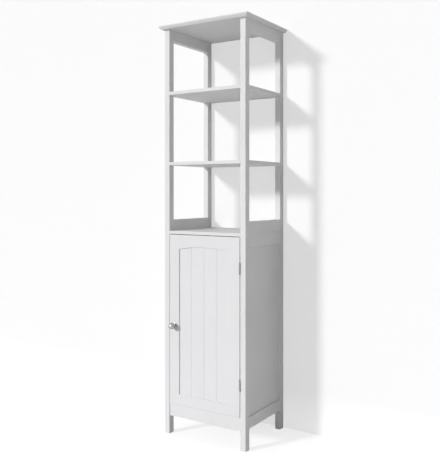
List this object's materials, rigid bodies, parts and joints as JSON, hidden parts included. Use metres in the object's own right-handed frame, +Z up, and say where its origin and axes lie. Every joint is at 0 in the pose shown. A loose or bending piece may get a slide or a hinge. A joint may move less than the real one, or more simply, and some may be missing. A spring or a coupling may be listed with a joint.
{
  "type": "tall bathroom cabinet",
  "caption": "Tall free-standing bathroom cabinet: an open shelf tower over a cupboard with an arched, framed bead-board door on butt hinges.",
  "frame": {"origin": "on the floor, under the middle of the overall bounding box", "axes": "+X to the right as seen from the door side, +Y from the door towards the wall, +Z up"},
  "size_m": [0.4068, 0.3154, 1.587],
  "materials": {
    "white_paint": "satin white paint on board and wood",
    "bare_hardwood": "bare turned hardwood",
    "nickel": "satin nickel plate",
    "zinc_steel": "bright zinc plate",
    "white_plastic": "moulded, matt",
    "magnet": "dark sintered block"
  },
  "bodies": {
    "carcass": {"back_panel": "white_paint", "back_rail": "white_paint", "cabinet_floor": "white_paint", "cabinet_top": "white_paint", "catch_housing": "white_plastic", "catch_magnet": "magnet", "catch_screws": "zinc_steel", "front_apron": "white_paint", "hinge_lower_pin": "nickel", "hinge_lower_post_leaf": "nickel", "hinge_screws_post": "nickel", "hinge_upper_pin": "nickel", "hinge_upper_post_leaf": "nickel", "inner_shelf": "white_paint", "lower_shelf": "white_paint", "post_back_left": "white_paint", "post_back_right": "white_paint", "post_front_left": "white_paint", "post_front_right": "white_paint", "shelf_pins": "zinc_steel", "side_panel_left": "white_paint", "side_panel_right": "white_paint", "side_rail_bottom_left": "white_paint", "side_rail_bottom_right": "white_paint", "side_rail_gallery_left": "white_paint", "side_rail_gallery_right": "white_paint", "side_rail_mid_left": "white_paint", "side_rail_mid_right": "white_paint", "side_rail_top_left": "white_paint", "side_rail_top_right": "white_paint", "top_board": "white_paint", "upper_shelf": "white_paint", "wood_dowels": "bare_hardwood"},
    "door": {"door_bead_panel": "white_paint", "door_bottom_rail": "white_paint", "door_knob": "nickel", "door_stile_left": "white_paint", "door_stile_right": "white_paint", "door_top_rail": "white_paint", "hinge_lower_door_leaf": "nickel", "hinge_screws_door": "nickel", "hinge_upper_door_leaf": "nickel", "knob_screw": "zinc_steel", "strike_plate": "zinc_steel", "strike_screws": "zinc_steel"}
  },
  "joints": [
    {"name": "door_hinge", "type": "hinge", "parent": "carcass", "child": "door", "pos_m": [0.16145, -0.13095, 0.4495], "axis": [0, 0, 1], "range_deg": [0, 180]}
  ]
}
